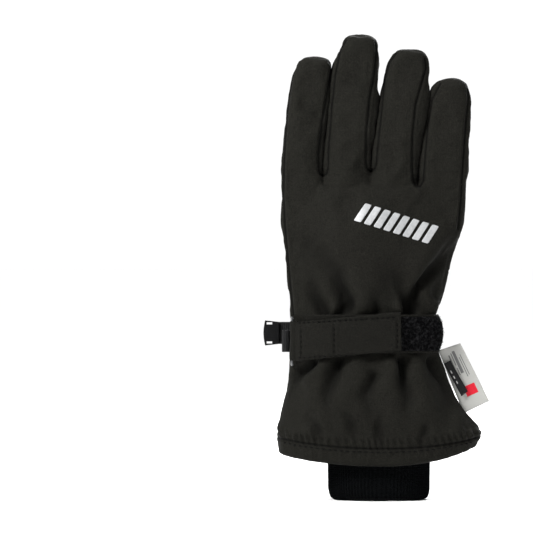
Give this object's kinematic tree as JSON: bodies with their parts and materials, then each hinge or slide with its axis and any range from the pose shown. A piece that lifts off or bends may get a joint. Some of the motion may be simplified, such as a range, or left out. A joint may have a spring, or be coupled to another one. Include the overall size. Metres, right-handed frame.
{
  "type": "ski glove",
  "caption": "Insulated ski glove for the right hand with a flared gauntlet, knit inner cuff, wrist strap, clip and reflective bars.",
  "frame": {"origin": "middle of the glove's outline, at the height of the knit cuff's rim", "axes": "+Z from the cuff to the fingertips, -Y out of the back of the hand, -X to the thumb side"},
  "size_m": [0.1244, 0.0694, 0.252],
  "materials": {
    "softshell": "fine woven",
    "wadding": "soft fibre",
    "fleece": "brushed",
    "grip": "embossed",
    "rib_knit": "rib knit",
    "elastic": "woven elastic",
    "loop_pile": "loop pile",
    "hook_tape": "hook tape",
    "webbing": "woven webbing",
    "black_plastic": "satin",
    "grey_plastic": "translucent satin",
    "reflective": "reflective film",
    "satin": "satin tape",
    "black_satin": "satin tape"
  },
  "bodies": {
    "hand": {"hand_back_shell": "softshell", "hand_palm_shell": "softshell", "hand_back_padding": "wadding", "hand_palm_padding": "wadding", "hand_lining": "fleece", "palm_grip_patch": "grip", "gauntlet_back_shell": "softshell", "gauntlet_palm_shell": "softshell", "gauntlet_lining": "fleece", "hem_band": "softshell", "wrist_elastic": "elastic", "knit_cuff": "rib_knit", "strap_base": "softshell", "loop_tape": "loop_pile", "strap_ring": "grey_plastic", "ring_keeper": "webbing", "reflective_bar_1": "reflective", "reflective_bar_2": "reflective", "reflective_bar_3": "reflective", "reflective_bar_4": "reflective", "reflective_bar_5": "reflective", "reflective_bar_6": "reflective", "reflective_bar_7": "reflective", "reflective_bar_8": "reflective"},
    "index_finger": {"index_finger_shell": "softshell", "index_finger_padding": "wadding", "index_finger_lining": "fleece"},
    "middle_finger": {"middle_finger_shell": "softshell", "middle_finger_padding": "wadding", "middle_finger_lining": "fleece"},
    "ring_finger": {"ring_finger_shell": "softshell", "ring_finger_padding": "wadding", "ring_finger_lining": "fleece"},
    "little_finger": {"little_finger_shell": "softshell", "little_finger_padding": "wadding", "little_finger_lining": "fleece"},
    "thumb": {"thumb_shell": "softshell", "thumb_padding": "wadding", "thumb_lining": "fleece"},
    "strap_tab": {"strap_tab": "softshell", "hook_tape": "hook_tape"},
    "clip": {"clip_webbing": "webbing", "clip_body": "black_plastic"},
    "labels": {"care_label": "satin", "size_label": "black_satin"}
  },
  "joints": [
    {"name": "index_bend", "type": "hinge", "parent": "hand", "child": "index_finger", "pos_m": [-0.0405, -0.00416, 0.196], "axis": [-0.9917, 0, 0.1289], "range_deg": [0, 60], "stiffness_Nm_per_rad": 0.03},
    {"name": "middle_bend", "type": "hinge", "parent": "hand", "child": "middle_finger", "pos_m": [-0.0164, -0.00416, 0.2], "axis": [-0.9917, 0, 0.1289], "range_deg": [0, 60], "stiffness_Nm_per_rad": 0.03},
    {"name": "ring_bend", "type": "hinge", "parent": "hand", "child": "ring_finger", "pos_m": [0.0104, -0.00416, 0.198], "axis": [-0.9859, 0, 0.1676], "range_deg": [0, 60], "stiffness_Nm_per_rad": 0.03},
    {"name": "little_bend", "type": "hinge", "parent": "hand", "child": "little_finger", "pos_m": [0.0356, -0.00416, 0.19], "axis": [-0.994, 0, 0.1093], "range_deg": [0, 60], "stiffness_Nm_per_rad": 0.03},
    {"name": "thumb_swing", "type": "hinge", "parent": "hand", "child": "thumb", "pos_m": [-0.0248, 0.00884, 0.1225], "axis": [0, -1, 0], "range_deg": [0, 40], "stiffness_Nm_per_rad": 0.05},
    {"name": "strap_tab_peel", "type": "hinge", "parent": "hand", "child": "strap_tab", "pos_m": [-0.0472, -0.02186, 0.0885], "axis": [0, 0, -1], "range_deg": [0, 120]},
    {"name": "clip_swing", "type": "hinge", "parent": "hand", "child": "clip", "pos_m": [-0.0455, -0.00286, 0.09], "axis": [0, 0, -1], "range_deg": [0, 60], "stiffness_Nm_per_rad": 0.002},
    {"name": "label_swing", "type": "hinge", "parent": "hand", "child": "labels", "pos_m": [0.036, -0.00916, 0.0805], "axis": [0.3915, 0, -0.9202], "range_deg": [-45, 45], "stiffness_Nm_per_rad": 0.001}
  ]
}
